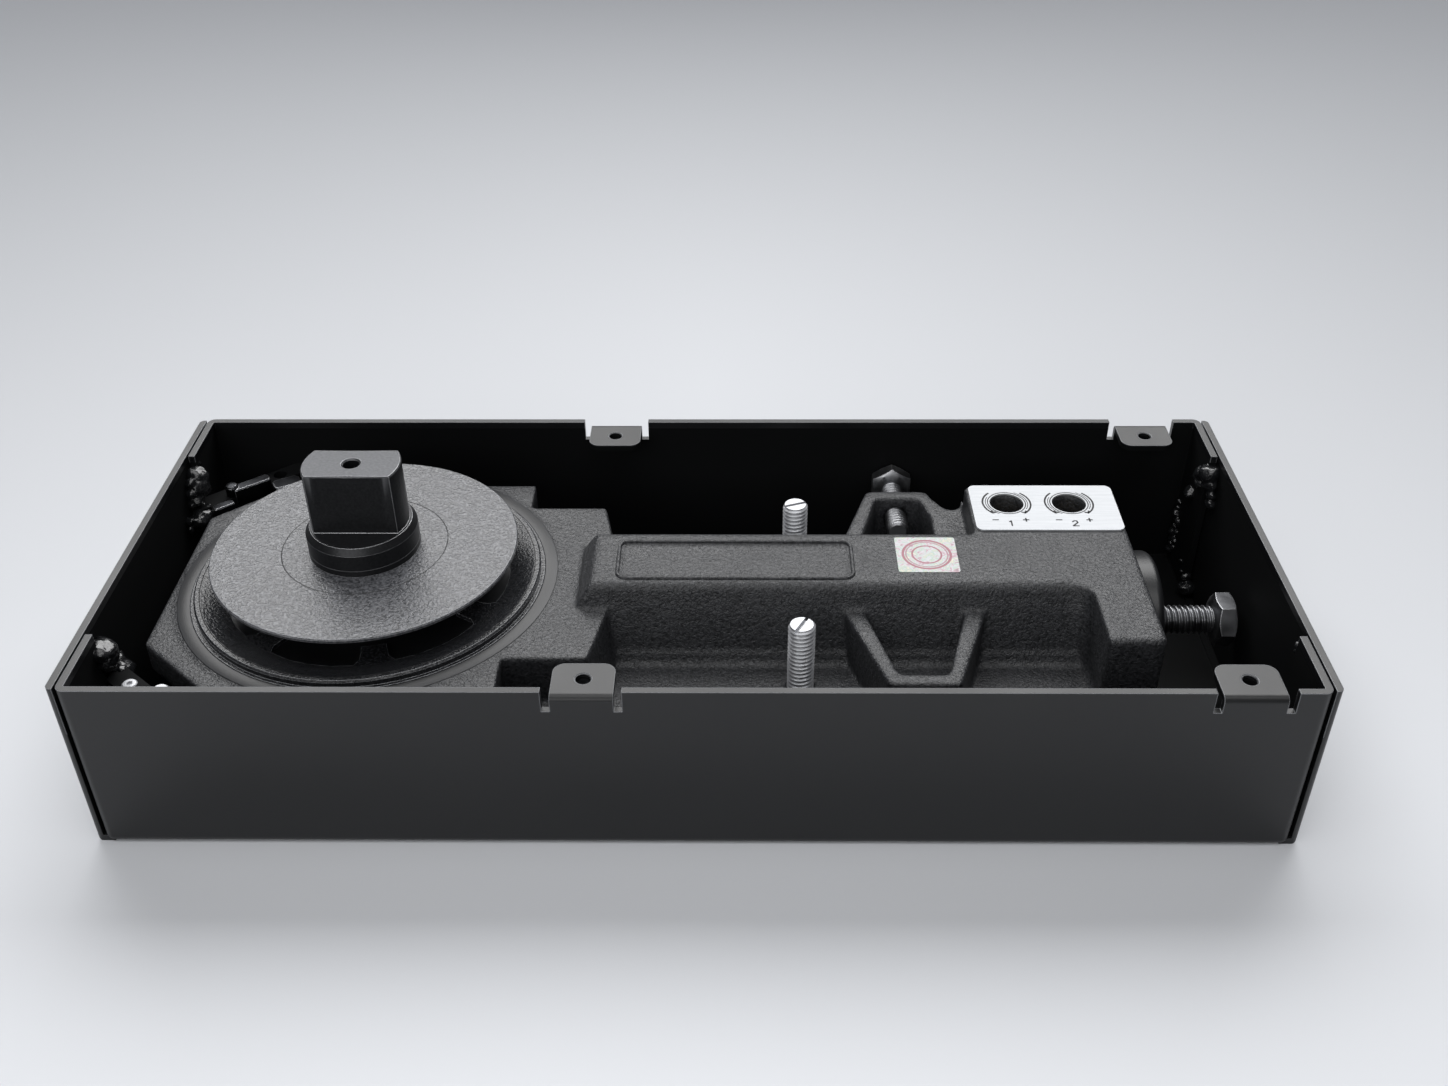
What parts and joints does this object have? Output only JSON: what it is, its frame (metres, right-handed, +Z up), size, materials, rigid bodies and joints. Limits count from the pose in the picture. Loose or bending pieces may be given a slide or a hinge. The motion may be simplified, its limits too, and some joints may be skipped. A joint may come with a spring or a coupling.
{
  "type": "floor spring door closer",
  "caption": "Hydraulic floor spring: cam-and-piston closer in a folded steel floor box, with a flat oblong spindle, dust disc, spanner ring, speed valves and adjusting bolts.",
  "frame": {"origin": "centre of the floor box's base, on its underside", "axes": "+X along the box towards the speed valves, +Y to the rear long wall, +Z up, along the spindle"},
  "size_m": [0.3016, 0.1236, 0.0739],
  "materials": {
    "case_paint": "satin",
    "bright_zinc": "bright zinc",
    "black_steel": "black oxide",
    "cast_paint": "painted casting",
    "nut_paint": "satin",
    "disc_paint": "fine texture",
    "spindle_steel": "black oxide, worn",
    "hard_steel": "ground",
    "plain_steel": "plain",
    "iron": "machined",
    "bronze": "machined",
    "seal_rubber": "matt",
    "ring_plastic": "matt",
    "plate_silver": "satin"
  },
  "bodies": {
    "case": {"case_tray": "case_paint", "rear_corner_bar": "case_paint", "front_corner_bar": "case_paint", "rear_cap_screw": "black_steel", "front_cap_screw": "bright_zinc", "rear_grub_screw": "black_steel", "front_grub_screw": "bright_zinc"},
    "closer_unit": {"housing": "cast_paint", "bearing_cover": "nut_paint", "cover_o_ring": "seal_rubber", "ring_nut": "nut_paint", "oil_seal": "seal_rubber", "upper_bearing": "hard_steel", "lower_bearing": "hard_steel", "thrust_washer": "bronze", "end_plug": "nut_paint", "plug_o_ring": "seal_rubber", "valve_plate": "plate_silver", "main_spring": "plain_steel"},
    "spindle_unit": {"spindle": "spindle_steel", "disc_hub": "disc_paint", "dust_disc": "disc_paint", "heart_cam": "hard_steel", "cam_key": "hard_steel"},
    "piston_carriage": {"lower_carriage_plate": "plain_steel", "upper_carriage_plate": "plain_steel", "front_cam_roller": "hard_steel", "rear_cam_roller": "hard_steel", "front_roller_pin": "hard_steel", "rear_roller_pin": "hard_steel", "first_piston_pin": "hard_steel", "second_piston_pin": "hard_steel", "piston": "iron", "piston_ring": "ring_plastic", "check_plug": "plain_steel", "check_ball": "hard_steel"},
    "closing_valve": {"closing_valve": "bronze", "closing_valve_o_ring": "seal_rubber"},
    "latching_valve": {"latching_valve": "bronze", "latching_valve_o_ring": "seal_rubber"},
    "rear_side_bolt": {"rear_side_bolt": "black_steel"},
    "front_side_bolt": {"front_side_bolt": "black_steel"},
    "end_bolt": {"end_bolt": "black_steel"},
    "rear_levelling_stud": {"rear_levelling_stud": "bright_zinc"},
    "front_levelling_stud": {"front_levelling_stud": "bright_zinc"}
  },
  "joints": [
    {"name": "unit_height", "type": "slide", "parent": "case", "child": "closer_unit", "axis": [0, 0, 1], "range_m": [0, 0.004]},
    {"name": "spindle_swing", "type": "hinge", "parent": "closer_unit", "child": "spindle_unit", "pos_m": [-0.0887, 0, 0], "axis": [0, 0, 1], "range_deg": [0, 130], "stiffness_Nm_per_rad": 0.35, "springref_deg": -166.16},
    {"name": "piston_slide", "type": "slide", "parent": "closer_unit", "child": "piston_carriage", "axis": [1, 0, 0], "range_m": [0, 0.0091], "deforming": ["main_spring"]},
    {"name": "closing_valve_turn", "type": "hinge", "parent": "closer_unit", "child": "closing_valve", "pos_m": [0.0862, 0.0252, 0], "axis": [0, 0, 1], "range_deg": [-90, 540]},
    {"name": "latching_valve_turn", "type": "hinge", "parent": "closer_unit", "child": "latching_valve", "pos_m": [0.1037, 0.0252, 0], "axis": [0, 0, 1], "range_deg": [-90, 540]},
    {"name": "rear_bolt_travel", "type": "slide", "parent": "closer_unit", "child": "rear_side_bolt", "axis": [0, -1, 0], "range_m": [0, 0.01]},
    {"name": "front_bolt_travel", "type": "slide", "parent": "closer_unit", "child": "front_side_bolt", "axis": [0, 1, 0], "range_m": [0, 0.01]},
    {"name": "end_bolt_travel", "type": "slide", "parent": "closer_unit", "child": "end_bolt", "axis": [-1, 0, 0], "range_m": [0, 0.012]},
    {"name": "rear_stud_turn", "type": "hinge", "parent": "case", "child": "rear_levelling_stud", "pos_m": [0.027, 0.0272, 0], "axis": [0, 0, -1], "range_deg": [0, 1140]},
    {"name": "front_stud_turn", "type": "hinge", "parent": "case", "child": "front_levelling_stud", "pos_m": [0.027, -0.0272, 0], "axis": [0, 0, -1], "range_deg": [0, 1140]}
  ],
  "couplings": [
    {"joint": "spindle_swing", "follows": "piston_slide", "rad_per_m": 249.33},
    {"joint": "rear_stud_turn", "follows": "unit_height", "rad_per_m": 4947.4},
    {"joint": "front_stud_turn", "follows": "unit_height", "rad_per_m": 4947.4}
  ]
}
